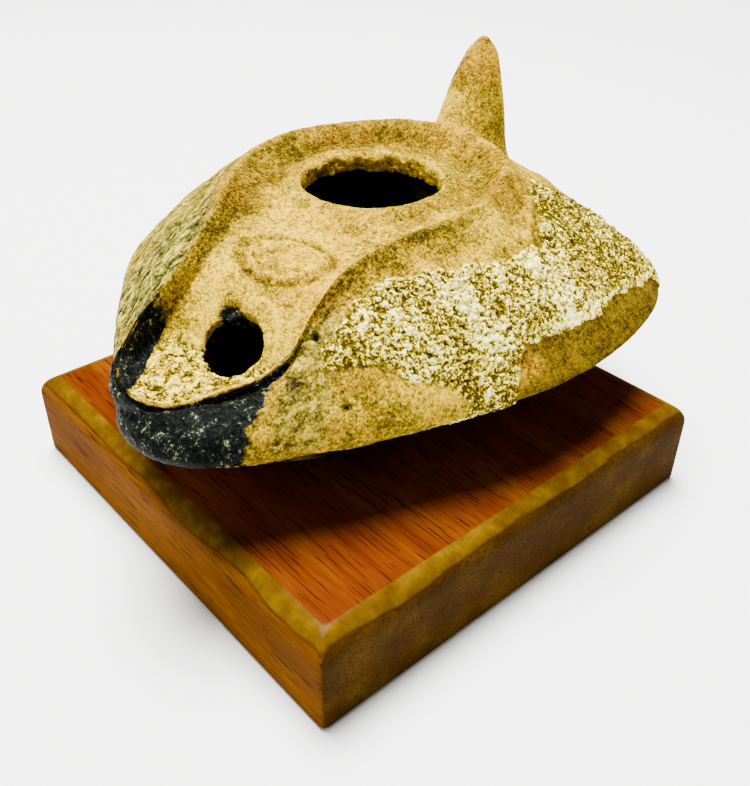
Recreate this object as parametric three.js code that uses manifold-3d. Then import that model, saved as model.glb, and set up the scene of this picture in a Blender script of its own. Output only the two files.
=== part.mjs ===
// A moulded terracotta oil lamp, hollow and open, standing on its small varnished wooden base.
// Millimetres, +Z up. The origin is the middle of the base's underside.
import * as THREE from 'three';
import { mergeVertices } from 'three/addons/utils/BufferGeometryUtils.js';
import Module from 'manifold-3d';

// Driving dimensions of the wooden base
const BASE_SIDE = 80;
const BASE_HEIGHT = 15.8;
const BASE_TOP_ROUND = 3.6;
const BASE_ARRIS = 0.6;

// Where the lamp stands on the base. The lamp has its own frame: +Y runs from the nozzle to the
// handle, +X to the lamp's own side that faces right of the nozzle, and z = 0 is under its foot.
const REST_GAP = 0.3;
const LAMP_X = -9.4;
const LAMP_Y = 11.0;
const LAMP_TURN = THREE.MathUtils.degToRad(19.5);

// Widest outline of the lamp, a teardrop: a big circle at the belly, a small one at the nozzle.
// It is fuller at the back corners and on the flanks of the nozzle, by `out` around `angle`.
const BELLY = { radius: 45.3, y: 4.8, noseRadius: 13.5, noseY: -44.6 };
const BACK_CORNER = { out: 2.8, angle: 63.5, spread: 20 };
const FLANK = { out: 1.2, angle: 152, spread: 24 };

// The keel is a rounded band, as [how far inside the outline, how far above KEEL_Z]. It is
// sharp around the belly and broad on the flanks of the nozzle.
const KEEL_Z = 14.4;
const KEEL_BAND = [[3.6, 6.2], [1.2, 3.4], [0, 0], [1.4, -2.6], [5, -4.4]];
const BAND_AT_BACK = 0.12;

// Foot, a smaller teardrop, with a low ring and a sunken middle
const FOOT = { radius: 23.5, y: 2, noseRadius: 12, noseY: -25 };
const FOOT_RING_WIDTH = 2.6;
const FOOT_RECESS = 0.8;
const FOOT_RING_SLOPE = 1.2;
const FOOT_EDGE = [0.4, 0.9];
const BELLY_SWELL = 0.4;

// Filling hole with its rolled lip and the trough around it
const HOLE_RADIUS = 11.6;
const LIP_RADIUS = 13.4;
const LIP_Z = 32.4;
const LIP_OVERHANG = 1.6;
const LIP_FALL = 0.2;
const LIP_SKIRT = 2.2;
const LIP_SKIRT_UP = 0.5;
const TROUGH_RADIUS = 17.6;
const TROUGH_Z = 30.6;

// Crest of the ridge that rings the hole and runs down both sides of the channel to the nozzle,
// as [x, y, z]. The corner of the rim to the right of the wick hole is broken away.
const RIDGE_CREST = [
  [0, 23.2, 34.8], [-11.6, 19.4, 34.4], [-20, 10.3, 34], [-22.2, -1, 33.8], [-19.8, -11.3, 33.3],
  [-15.2, -22, 32.4], [-12.9, -30, 30.4], [-12.3, -37, 27.4], [-12.7, -43.5, 23.4],
  [-11.6, -49, 20], [-7.4, -53, 18.9], [-1.4, -53.2, 18.7], [2.8, -48.8, 18.4],
  [7, -43.6, 19.4], [10.1, -40.4, 22.8], [10.9, -36, 27.3], [11.6, -30, 30.3], [14.1, -22.2, 32.3],
  [19.4, -11.3, 33.4], [21.8, -1, 34], [19.8, 10.3, 34.4], [11.6, 19.4, 34.7],
];
const RIDGE_HALF_WIDTH = 2.6;
const RIDGE_INNER_FOOT = 3.4;
const RIDGE_INNER_SHARE = 0.72;
const RIDGE_FLANK_DROP = 3;
const RIDGE_OUTER_FOOT = 1.5;
const NOSE_FLANK_WIDTH = 0.45;
const NOSE_FLANK_DROP = 0.35;

// How far the shoulder stands over a straight line, more beside the nozzle
const SWELL_BACK = 0.7;
const SWELL_FLANK = 1.4;

// Height of the sunken floor along the lamp's middle, as [y, z], from the trough to the nozzle pan
const FLOOR_LINE = [
  [24, TROUGH_Z], [-12, 30.5], [-20, 29.8], [-26.5, 29.1], [-30.5, 27.7], [-34, 25.2],
  [-39, 20.4], [-42.5, 18.2], [-46, 17.7], [-60, 17.6],
];
const FLOOR_SOFTEN = 2.5;
const FLOOR_DISH = 0.9;
const FLOOR_DISH_REACH = 13;

// Wick hole, cut square to the sloping floor of the nozzle
const WICK_RADIUS = 4.9;
const WICK_CENTRE = [-0.5, -38.6, 20.6];
const WICK_LEAN = THREE.MathUtils.degToRad(24);
const WICK_CUT_UP = 9;
const WICK_CUT_DOWN = 9.5;

// Worn oval medallion between the two holes
const OVAL = { x: 0, y: -26, long: 7.6, short: 4.7, ring: 1.3, rise: 0.55 };

// Solid conical handle behind the ring
const HANDLE_FOOT_Y = 38.2;
const HANDLE_FOOT_Z = 24;
const HANDLE_LEAN = Math.tan(THREE.MathUtils.degToRad(14));
const HANDLE_PROFILE = [
  [16.5, 9.6], [21.5, 9.5], [24, 8.3], [28, 7.15], [32, 6.3], [36, 5.25], [40, 4.05], [43.4, 2.7],
  [45.1, 1.2],
];
const HANDLE_TIP_Z = 45.7;

// Thickness of the fired clay, and how the hollow inside draws in towards the nozzle
const WALL = 4;
const FLOOR_WALL = 4.2;
const LIP_WALL = 4.6;
const UNDER_RIDGE = [1.2, 6.3];
const HOLLOW_SHOULDER = 0.4;
const HOLLOW_EDGE = 1.3;
const HOLLOW_EDGE_UP = 0.5;
const NOSE_HOLLOW_Z = 13.2;
const NOSE_HOLLOW_EDGE = 4.2;
const NOSE_HOLLOW_EDGE_UP = -2.4;
const HOLLOW_FLOOR_INSET = 6;

// Fineness of the faceted surfaces
const AROUND = 112;
const HANDLE_AROUND = 24;
const WICK_AROUND = 28;
const OVAL_AROUND = 36;
const BASE_ROUND_STEPS = 6;

const wasm = await Module();
wasm.setup();

const lerp = THREE.MathUtils.lerp;

// Piecewise straight reading of a [where, value] line
function readLine(line, where) {
  const rising = line[0][0] < line[line.length - 1][0];
  const points = rising ? line : line.toReversed();
  if (where <= points[0][0]) return points[0][1];
  for (let i = 1; i < points.length; i += 1) {
    const [w0, v0] = points[i - 1];
    const [w1, v1] = points[i];
    if (where <= w1) return lerp(v0, v1, (where - w0) / (w1 - w0));
  }
  return points[points.length - 1][1];
}

// Distance from the hole's axis to a teardrop outline. Direction 0 points to the handle, pi to
// the nozzle. The outline is two circles joined by their outer tangents.
function teardropReach(drop, direction) {
  const dx = Math.abs(Math.sin(direction));
  const dy = Math.cos(direction);
  const sinB = (drop.radius - drop.noseRadius) / (drop.y - drop.noseY);
  const cosB = Math.sqrt(1 - sinB * sinB);
  const facing = dx * cosB - dy * sinB;
  const sideDistance = drop.radius - drop.y * sinB;
  const toSide = facing > 0 ? sideDistance / facing : Infinity;
  const hitY = toSide * dy;
  const rearTangentY = drop.y - drop.radius * sinB;
  const noseTangentY = drop.noseY - drop.noseRadius * sinB;
  if (toSide < Infinity && hitY < rearTangentY && hitY > noseTangentY) return toSide;
  const onNose = dy < 0 && (toSide === Infinity || hitY <= noseTangentY);
  const centreY = onNose ? drop.noseY : drop.y;
  const radius = onNose ? drop.noseRadius : drop.radius;
  const along = centreY * dy;
  return along + Math.sqrt(radius * radius - centreY * centreY * dx * dx);
}

// The ridge as a smooth closed curve, read by direction from the hole's axis
function makeRidge() {
  const points = RIDGE_CREST.map((p) => new THREE.Vector3(...p));
  const curve = new THREE.CatmullRomCurve3(points, true, 'centripetal');
  const samples = curve.getPoints(600).map((p) => {
    const direction = (Math.atan2(-p.x, p.y) + 2 * Math.PI) % (2 * Math.PI);
    return { direction, reach: Math.hypot(p.x, p.y), z: p.z };
  });
  samples.sort((a, b) => a.direction - b.direction);
  return (direction) => {
    const d = (direction + 2 * Math.PI) % (2 * Math.PI);
    let i = samples.findIndex((s) => s.direction > d);
    if (i < 0) i = 0;
    const after = samples[i];
    const before = samples[(i + samples.length - 1) % samples.length];
    const span = (after.direction - before.direction + 2 * Math.PI) % (2 * Math.PI) || 1;
    const f = ((d - before.direction + 2 * Math.PI) % (2 * Math.PI)) / span;
    return { reach: lerp(before.reach, after.reach, f), z: lerp(before.z, after.z, f) };
  };
}
const ridgeAt = makeRidge();

// Directions that step evenly along the lamp's outline, anticlockwise from the handle
function outlineDirections(count) {
  const fine = 2400;
  const lengths = [0];
  let last = null;
  for (let i = 0; i <= fine; i += 1) {
    const d = (2 * Math.PI * i) / fine;
    const r = keelReach(d);
    const p = new THREE.Vector2(-Math.sin(d) * r, Math.cos(d) * r);
    if (last) lengths.push(lengths[lengths.length - 1] + p.distanceTo(last));
    last = p;
  }
  const total = lengths[lengths.length - 1];
  const directions = [];
  let j = 0;
  for (let k = 0; k < count; k += 1) {
    const wanted = (total * k) / count;
    while (lengths[j + 1] < wanted) j += 1;
    const f = (wanted - lengths[j]) / (lengths[j + 1] - lengths[j]);
    directions.push((2 * Math.PI * (j + f)) / fine);
  }
  return directions;
}

// How much a direction looks to the nozzle: 1 straight at it, 0 to the sides and the handle
function noseShare(direction) {
  return Math.max(0, -Math.cos(direction)) ** 6;
}

// How much a direction looks to a place at an angle from the handle, on either side, in degrees
function sideShare(direction, angle, spread) {
  const turned = THREE.MathUtils.radToDeg(direction);
  const off = (180 - Math.abs(180 - turned) - angle) / spread;
  return Math.exp(-off * off);
}

function flankShare(direction) {
  return sideShare(direction, FLANK.angle, FLANK.spread) * (1 - noseShare(direction) ** 4);
}

// Distance from the hole's axis to the keel
function keelReach(direction) {
  const corner = BACK_CORNER.out * sideShare(direction, BACK_CORNER.angle, BACK_CORNER.spread);
  return teardropReach(BELLY, direction) + corner + FLANK.out * flankShare(direction);
}

// Height of the sunken floor, its line read with softened corners and dished across
function floorZ(x, y) {
  const softened = [-2, -1, 0, 1, 2].map((k) => readLine(FLOOR_LINE, y + (k * FLOOR_SOFTEN) / 2));
  const middle = softened.reduce((sum, z) => sum + z, 0) / softened.length;
  return middle + FLOOR_DISH * Math.min(1, Math.abs(x) / FLOOR_DISH_REACH) ** 2;
}

function place(direction, reach, z) {
  return [-Math.sin(direction) * reach, Math.cos(direction) * reach, z];
}

// Rings of the lamp's outside in one direction, from the filling hole out to the keel and under
function outsideProfile(direction) {
  const ridge = ridgeAt(direction);
  const keel = keelReach(direction);
  const foot = teardropReach(FOOT, direction);
  const nose = noseShare(direction);
  const flankTurn = flankShare(direction);

  // The rolled lip of the filling hole
  const rings = [[HOLE_RADIUS - LIP_OVERHANG, LIP_Z - LIP_FALL], [LIP_RADIUS, LIP_Z]];
  rings.push([LIP_RADIUS + LIP_SKIRT, TROUGH_Z + LIP_SKIRT_UP]);

  // The sunken floor of the trough and channel
  const innerFoot = ridge.reach - RIDGE_INNER_FOOT;
  const trough = Math.min(TROUGH_RADIUS, innerFoot - WALL / 10);
  for (const f of [0, 0.2, 0.4, 0.6, 0.8, 1]) {
    const r = lerp(trough, innerFoot, f);
    const [x, y] = place(direction, r, 0);
    rings.push([r, floorZ(x, y)]);
  }
  const footOfRidge = rings[rings.length - 1][1];

  // The ridge, its outer flank lower round the front of the nozzle
  const flank = RIDGE_HALF_WIDTH * lerp(1, NOSE_FLANK_WIDTH, nose);
  const flankDrop = RIDGE_FLANK_DROP * lerp(1, NOSE_FLANK_DROP, nose);
  rings.push([
    ridge.reach - RIDGE_HALF_WIDTH / 2,
    lerp(footOfRidge, ridge.z, RIDGE_INNER_SHARE),
  ]);
  rings.push([ridge.reach, ridge.z]);
  rings.push([ridge.reach + flank * 0.6, ridge.z - flankDrop * 0.42]);
  const shoulderR = ridge.reach + flank * RIDGE_OUTER_FOOT;
  const shoulderZ = ridge.z - flankDrop;
  rings.push([shoulderR, shoulderZ]);

  // The shoulder down to the keel
  const bandShare = lerp(BAND_AT_BACK, 1, flankTurn);
  const swell = lerp(SWELL_BACK, SWELL_FLANK, flankTurn);
  const band = KEEL_BAND.map(([inset, up]) => [keel - inset * bandShare, KEEL_Z + up * bandShare]);
  const [bandR, bandZ] = band[0];
  for (const f of [0.25, 0.5, 0.75]) {
    const lift = swell * Math.sin(Math.PI * f);
    rings.push([lerp(shoulderR, bandR, f), lerp(shoulderZ, bandZ, f) + lift]);
  }
  rings.push(...band);

  // The underside in to the foot ring and its sunken middle
  const [lowR, lowZ] = band[band.length - 1];
  const [edgeOut, edgeUp] = FOOT_EDGE;
  for (const f of [0.35, 0.7]) {
    const belly = BELLY_SWELL * Math.sin(Math.PI * f);
    rings.push([lerp(lowR, foot + edgeOut, f), lerp(lowZ, edgeUp, f) - belly]);
  }
  rings.push([foot, 0], [foot - FOOT_RING_WIDTH, 0]);
  rings.push([foot - FOOT_RING_WIDTH - FOOT_RING_SLOPE, FOOT_RECESS]);
  return rings;
}

// Rings of the hollow inside in one direction, from above the filling hole down to its floor
function insideProfile(direction) {
  const ridge = ridgeAt(direction);
  const keel = keelReach(direction);
  const foot = teardropReach(FOOT, direction);
  const nose = noseShare(direction);

  // Up through the filling hole, a little wider below
  const rings = [[HOLE_RADIUS, LIP_Z + 2], [HOLE_RADIUS, LIP_Z - 1.5]];
  rings.push([HOLE_RADIUS + 0.3, LIP_Z - LIP_WALL]);

  // Under the channel floor and the ridge
  const under = Math.max(HOLE_RADIUS + 2.5, ridge.reach - WALL);
  for (const f of [0.45, 1]) {
    const r = lerp(HOLE_RADIUS + 1, under, f);
    const [x, y] = place(direction, r, 0);
    rings.push([r, floorZ(x, y) - WALL]);
  }
  const roofZ = rings[rings.length - 1][1];
  const [ridgeIn, ridgeDown] = UNDER_RIDGE;
  rings.push([
    lerp(ridge.reach - ridgeIn, under + 0.5, nose),
    lerp(ridge.z - ridgeDown, roofZ - 0.2, nose),
  ]);

  // Down inside the shoulder to the keel and along the floor
  const shoulderR = lerp(ridge.reach + RIDGE_HALF_WIDTH, keel, HOLLOW_SHOULDER) - WALL * 0.8;
  const shoulderZ = lerp(ridge.z - RIDGE_FLANK_DROP, KEEL_Z, HOLLOW_SHOULDER) - WALL * 0.7;
  rings.push([lerp(shoulderR, under + 1, nose), lerp(shoulderZ, NOSE_HOLLOW_Z, nose)]);
  rings.push([
    keel - WALL - lerp(HOLLOW_EDGE, NOSE_HOLLOW_EDGE, nose),
    KEEL_Z + lerp(HOLLOW_EDGE_UP, NOSE_HOLLOW_EDGE_UP, nose),
  ]);
  rings.push([lerp(foot, keel, 0.35) - 1, lerp(FLOOR_WALL, KEEL_Z, 0.3)]);
  rings.push([foot - HOLLOW_FLOOR_INSET, FLOOR_WALL + 0.6]);
  return rings;
}

// A closed mesh from rings of equal count, capped by a middle point at each end
function ringSolid(profile, directions, firstZ, lastZ) {
  const columns = directions.map((d) => profile(d).map(([r, z]) => place(d, r, z)));
  const ringCount = columns[0].length;
  const count = directions.length;
  const positions = [0, 0, firstZ];
  for (let k = 0; k < ringCount; k += 1) {
    for (let i = 0; i < count; i += 1) positions.push(...columns[i][k]);
  }
  positions.push(0, 0, lastZ);
  const end = positions.length / 3 - 1;
  const at = (k, i) => 1 + k * count + (i % count);
  const index = [];
  for (let i = 0; i < count; i += 1) {
    index.push(0, at(0, i), at(0, i + 1));
    for (let k = 0; k + 1 < ringCount; k += 1) {
      index.push(at(k, i), at(k + 1, i), at(k, i + 1));
      index.push(at(k + 1, i), at(k + 1, i + 1), at(k, i + 1));
    }
    index.push(end, at(ringCount - 1, i + 1), at(ringCount - 1, i));
  }
  const geometry = new THREE.BufferGeometry();
  geometry.setAttribute('position', new THREE.Float32BufferAttribute(positions, 3));
  geometry.setIndex(index);
  return geometry;
}

function toManifold(geometry) {
  const bare = geometry.clone();
  bare.deleteAttribute('normal');
  bare.deleteAttribute('uv');
  const merged = mergeVertices(bare, 1e-5);
  const vertProperties = new Float32Array(merged.attributes.position.array);
  const triVerts = new Uint32Array(merged.index.array);
  return new wasm.Manifold(new wasm.Mesh({ numProp: 3, vertProperties, triVerts }));
}

function toGeometry(solid) {
  const mesh = solid.getMesh();
  const geometry = new THREE.BufferGeometry();
  const positions = new THREE.Float32BufferAttribute(new Float32Array(mesh.vertProperties), 3);
  geometry.setAttribute('position', positions);
  geometry.setIndex([...mesh.triVerts]);
  geometry.computeVertexNormals();
  return geometry;
}

// The handle is a leaning cone with a rounded tip, its foot sunk into the shoulder
function handleGeometry() {
  const profile = [
    new THREE.Vector2(0, HANDLE_PROFILE[0][0]),
    ...HANDLE_PROFILE.map(([z, r]) => new THREE.Vector2(r, z)),
    new THREE.Vector2(0, HANDLE_TIP_Z),
  ];
  const cone = new THREE.LatheGeometry(profile, HANDLE_AROUND);
  cone.rotateX(Math.PI / 2);
  const lean = new THREE.Matrix4().makeShear(0, 0, 0, 0, 0, HANDLE_LEAN);
  cone.applyMatrix4(lean);
  cone.translate(0, HANDLE_FOOT_Y - HANDLE_FOOT_Z * HANDLE_LEAN, 0);
  return cone;
}

// The wick hole's cutter is a short tapered cylinder, narrower inside
function wickCutter() {
  const length = WICK_CUT_UP + WICK_CUT_DOWN;
  const cutter = new THREE.CylinderGeometry(WICK_RADIUS * 1.12, WICK_RADIUS * 0.9, length, WICK_AROUND);
  cutter.rotateX(Math.PI / 2);
  cutter.translate(0, 0, (WICK_CUT_UP - WICK_CUT_DOWN) / 2);
  cutter.rotateX(WICK_LEAN);
  cutter.translate(...WICK_CENTRE);
  return cutter;
}

// A low oval ring that follows the floor
function ovalGeometry() {
  const section = [
    [-OVAL.ring / 2, -0.8], [OVAL.ring / 2, -0.8], [OVAL.ring / 2, OVAL.rise * 0.4], [0, OVAL.rise],
    [-OVAL.ring / 2, OVAL.rise * 0.4],
  ];
  const positions = [];
  for (let i = 0; i < OVAL_AROUND; i += 1) {
    const t = (2 * Math.PI * i) / OVAL_AROUND;
    for (const [out, up] of section) {
      const x = OVAL.x + Math.cos(t) * (OVAL.long + out);
      const y = OVAL.y + Math.sin(t) * (OVAL.short + out);
      positions.push(x, y, floorZ(x, y) + up);
    }
  }
  const index = [];
  const n = section.length;
  for (let i = 0; i < OVAL_AROUND; i += 1) {
    const j = (i + 1) % OVAL_AROUND;
    for (let k = 0; k < n; k += 1) {
      const l = (k + 1) % n;
      index.push(i * n + k, j * n + k, i * n + l, i * n + l, j * n + k, j * n + l);
    }
  }
  const geometry = new THREE.BufferGeometry();
  geometry.setAttribute('position', new THREE.Float32BufferAttribute(positions, 3));
  geometry.setIndex(index);
  return geometry;
}

function makeLamp() {
  const directions = outlineDirections(AROUND);
  const outside = toManifold(ringSolid(outsideProfile, directions, LIP_Z - 0.4, FOOT_RECESS));
  const coarse = outlineDirections(AROUND / 2);
  const hollow = toManifold(ringSolid(insideProfile, coarse, LIP_Z + 2, FLOOR_WALL));
  const solid = outside
    .add(toManifold(handleGeometry()))
    .add(toManifold(ovalGeometry()))
    .subtract(hollow)
    .subtract(toManifold(wickCutter()));
  const clay = new THREE.MeshStandardMaterial({ color: 0xc9a45c, roughness: 0.9, metalness: 0 });
  const lamp = new THREE.Mesh(toGeometry(solid), clay);
  lamp.name = 'lamp';
  lamp.position.set(LAMP_X, LAMP_Y, BASE_HEIGHT + REST_GAP);
  lamp.rotation.z = LAMP_TURN;
  return lamp;
}

// The base is one square block, its upper edges rounded over and its lower arris just eased
function makeBase() {
  const half = BASE_SIDE / 2;
  const outline = (inset) => {
    const side = half - inset;
    const corner = BASE_ARRIS;
    const points = [];
    for (const [sx, sy] of [[1, 1], [-1, 1], [-1, -1], [1, -1]]) {
      const order = sx * sy > 0 ? [[1, 0], [0, 1]] : [[0, 1], [1, 0]];
      for (const [ax, ay] of order) points.push([sx * (side - ay * corner), sy * (side - ax * corner)]);
    }
    return points;
  };
  const levels = [[BASE_ARRIS, 0], [0, BASE_ARRIS]];
  const steps = BASE_ROUND_STEPS;
  for (let i = 0; i <= steps; i += 1) {
    const turn = (Math.PI / 2) * (i / steps);
    levels.push([
      BASE_TOP_ROUND * (1 - Math.cos(turn)),
      BASE_HEIGHT - BASE_TOP_ROUND * (1 - Math.sin(turn)),
    ]);
  }
  const positions = [];
  levels.forEach(([inset, z]) => outline(inset).forEach(([x, y]) => positions.push(x, y, z)));
  const n = 8;
  const index = [];
  for (let k = 0; k + 1 < levels.length; k += 1) {
    for (let i = 0; i < n; i += 1) {
      const j = (i + 1) % n;
      const a = k * n + i;
      const b = k * n + j;
      index.push(a, b, a + n, b, b + n, a + n);
    }
  }
  const top = (levels.length - 1) * n;
  for (let i = 1; i + 1 < n; i += 1) {
    index.push(0, i + 1, i);
    index.push(top, top + i, top + i + 1);
  }
  const geometry = new THREE.BufferGeometry();
  geometry.setAttribute('position', new THREE.Float32BufferAttribute(positions, 3));
  geometry.setIndex(index);
  geometry.computeVertexNormals();
  const wood = new THREE.MeshStandardMaterial({ color: 0x7a4314, roughness: 0.4, metalness: 0 });
  const base = new THREE.Mesh(geometry, wood);
  base.name = 'wooden_base';
  return base;
}

const oilLamp = new THREE.Group();
oilLamp.add(makeBase(), makeLamp());

export default oilLamp;
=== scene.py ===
# %% [markdown]
# # A terracotta oil lamp on its wooden base
#
# A hand-sized clay lamp of an ancient kind. Oil went in at the large hole in the middle and the
# wick came out at the small one, so the nozzle is black with soot. A crumbly white crust, such
# as limy soil leaves, covers one shoulder. The lamp stands on a small varnished wooden block.
#
# The script builds two things round the fixed frame: the clay lamp, with its relief, breaks
# and deposits in real geometry, and the wooden block. Lengths are thought of in millimetres
# and handed over in metres.

# %% Set up and load the frame
import math

import bmesh
import bpy
import numpy as np
from mathutils import Matrix, Vector
from mathutils.kdtree import KDTree


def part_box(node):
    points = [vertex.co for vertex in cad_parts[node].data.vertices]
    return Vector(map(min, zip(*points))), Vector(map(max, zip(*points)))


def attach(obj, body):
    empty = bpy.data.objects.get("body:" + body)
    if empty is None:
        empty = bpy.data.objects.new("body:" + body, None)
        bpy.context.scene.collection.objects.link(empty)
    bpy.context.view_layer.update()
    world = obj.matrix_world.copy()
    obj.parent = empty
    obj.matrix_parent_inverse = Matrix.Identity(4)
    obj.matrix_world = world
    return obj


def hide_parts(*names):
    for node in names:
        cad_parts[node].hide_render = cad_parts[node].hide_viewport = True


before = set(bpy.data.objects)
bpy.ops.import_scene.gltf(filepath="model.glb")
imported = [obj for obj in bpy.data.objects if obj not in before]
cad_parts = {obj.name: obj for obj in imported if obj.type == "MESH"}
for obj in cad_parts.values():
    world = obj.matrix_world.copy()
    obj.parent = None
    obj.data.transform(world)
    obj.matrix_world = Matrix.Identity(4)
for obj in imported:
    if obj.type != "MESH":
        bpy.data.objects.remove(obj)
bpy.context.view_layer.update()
MM = 0.001
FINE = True
print("frame nodes:", sorted(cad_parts))

# %% [markdown]
# ## Noise to break things up
#
# Nothing on old clay is even. Two kinds of irregularity are needed: soft swells and dents,
# which come from smooth noise on a lattice of random slopes, and separate grains, such as the
# crumbs of the lime crust, which come from round bumps scattered one to a cell. Both read
# their randomness from fixed seeds, so the lamp is the same at every run.

# %% Smooth noise and scattered grains
TABLE = 4096
slope_table = np.random.default_rng(7).normal(size=(TABLE, 3)).astype(np.float32)
slope_table /= np.linalg.norm(slope_table, axis=1)[:, None]
chance_table = np.random.default_rng(11).random((TABLE, 5)).astype(np.float32)


def lattice_hash(cell, seed):
    x, y, z = cell[:, 0], cell[:, 1], cell[:, 2]
    mixed = (x * 73856093) ^ (y * 19349663) ^ (z * 83492791) ^ (seed * 2654435)
    return (mixed ^ (mixed >> 13)) % TABLE


def smooth_noise(points, size, seed=1):
    """Values about -1 to 1 that change smoothly over `size` millimetres."""
    where = (points / size).astype(np.float32)
    cell = np.floor(where).astype(np.int64)
    inside = where - cell
    fade = inside * inside * inside * (inside * (inside * 6 - 15) + 10)
    total = np.zeros(len(points), np.float32)
    for dx in (0, 1):
        for dy in (0, 1):
            for dz in (0, 1):
                step = np.array([dx, dy, dz])
                slope = slope_table[lattice_hash(cell + step, seed)]
                weight = np.prod(np.where(step, fade, 1 - fade), axis=1)
                total += weight * ((inside - step) * slope).sum(1)
    return total * 1.6


def layered_noise(points, size, layers=3, rough=0.5, seed=1):
    """Smooth noise with finer and weaker layers on top."""
    total, share = np.zeros(len(points), np.float32), 1.0
    for k in range(layers):
        total += share * smooth_noise(points, size / 2**k, seed + 17 * k)
        share *= rough
    return total


def grains(points, size, seed=1, filled=0.9):
    """Round bumps from 0 to 1, one in most cells of `size` millimetres."""
    where = (points / size).astype(np.float32)
    cell = np.floor(where).astype(np.int64)
    best = np.zeros(len(points), np.float32)
    for dx in (-1, 0, 1):
        for dy in (-1, 0, 1):
            for dz in (-1, 0, 1):
                near = cell + np.array([dx, dy, dz])
                chance = chance_table[lattice_hash(near, seed)]
                gap = where - near - chance[:, :3]
                radius = 0.45 + 0.4 * chance[:, 3]
                bump = 1 - (gap * gap).sum(1) / (radius * radius)
                height = (0.45 + 0.55 * chance[:, 4]) * (chance[:, 4] < filled)
                best = np.maximum(best, np.clip(bump, 0, 1) * height)
    return best


def ramp(value, low, high):
    """0 below low, 1 above high, smooth between. Low may be above high, to turn it round."""
    t = np.clip((value - low) / (high - low), 0, 1)
    return t * t * (3 - 2 * t)


def between(value, rise, full, fall, gone):
    """0 before rise, 1 from full to fall, and 0 again after gone."""
    return ramp(value, rise, full) * ramp(value, gone, fall)


def around(points, centre, reach):
    """1 at a centre, falling softly to 0 at about twice `reach` millimetres away."""
    away = (points - np.array(centre)) / np.array(reach)
    return np.exp(-(away * away).sum(1))


# %% [markdown]
# ## The form of the lamp
#
# The lamp has its own frame: +Y from the nozzle to the handle, +X to its right, and 0 under
# its foot. Seen from above its outline is a teardrop. Everything on it is laid out round the
# filling hole, so the surface is built as profiles that start inside the vessel, come up
# through the filling hole, cross the trough and the channel floor, climb the ridge and run
# down the shoulder to the keel and in to the foot. One profile for each direction round the
# hole gives one closed skin, hollow inside, with walls of real thickness.

# %% Sizes of the lamp, in millimetres
LAMP_AT = (-9.4, 11.0, 16.1)
LAMP_TURN = math.radians(19.5)

BELLY = dict(radius=45.3, y=4.8, nose_radius=13.5, nose_y=-44.6)
FOOT = dict(radius=23.5, y=2.0, nose_radius=12.0, nose_y=-25.0)
BACK_CORNER = dict(out=2.8, angle=63.5, spread=20)
FLANK = dict(out=1.2, angle=152, spread=24)
KEEL_Z = 14.4
KEEL_BAND = [(3.6, 6.2), (1.2, 3.4), (0, 0), (1.4, -2.6), (5, -4.4)]
BAND_AT_BACK = 0.16
BAND_AT_NOSE = 0.5
FOOT_RING_WIDTH = 2.6
FOOT_RECESS = 0.8

HOLE_RADIUS = 11.6
LIP_Z = 32.4
TROUGH_RADIUS = 17.6
TROUGH_Z = 30.6

# Crest of the ridge as (x, y, z), anticlockwise from behind the hole
RIDGE_CREST = [
    (0, 23.2, 34.8), (-11.6, 19.4, 34.4), (-20, 10.3, 34), (-22.2, -1, 33.8),
    (-19.8, -11.3, 33.3), (-15.2, -22, 32.4), (-12.9, -30, 30.4), (-12.3, -37, 27.4),
    (-13.4, -43.6, 23.4), (-12.4, -49.3, 20), (-7.9, -53.3, 18.9), (-1.4, -53.2, 18.7),
    (2.4, -47.8, 18.5), (6.5, -42.8, 19.7), (9.8, -39.9, 22.8), (10.9, -36, 27.3),
    (11.6, -30, 30.3), (14.1, -22.2, 32.3), (19.4, -11.3, 33.4), (21.8, -1, 34),
    (19.8, 10.3, 34.4), (11.6, 19.4, 34.7),
]
RIDGE_HALF_WIDTH = 2.6
RIDGE_FLANK_DROP = 3.0
FLOOR_LINE = [
    (-60, 17.6), (-46, 17.7), (-42.5, 18.2), (-39, 20.4), (-34, 25.2), (-30.5, 27.7),
    (-26.5, 29.1), (-20, 29.8), (-12, 30.5), (24, TROUGH_Z),
]
FLOOR_DISH = 0.9

HANDLE_FOOT = (38.2, 24.0)
HANDLE_LEAN = math.tan(math.radians(14))
HANDLE_PROFILE = [
    (16.5, 9.6), (21.5, 9.5), (24, 8.3), (28, 7.15), (32, 6.3), (36, 5.25), (40, 4.05),
    (43.4, 2.7), (45.1, 1.2),
]

WICK_AT = (-0.5, -39.3, 20.4)
WICK_RADIUS = 5.0
WICK_LEAN = math.radians(24)
OVAL = dict(y=-26, long=7.6, short=4.7)
WALL = 4.0
FLOOR_WALL = 4.2

# %% [markdown]
# A closed curve through the crest points gives the ridge. The teardrop is a large circle and
# a small one joined by straight sides. Both are read by direction, where 0 looks to the
# handle, a quarter turn to the lamp's left, and a half turn to the nozzle.

# %% Ridge, outline and floor as functions


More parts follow.
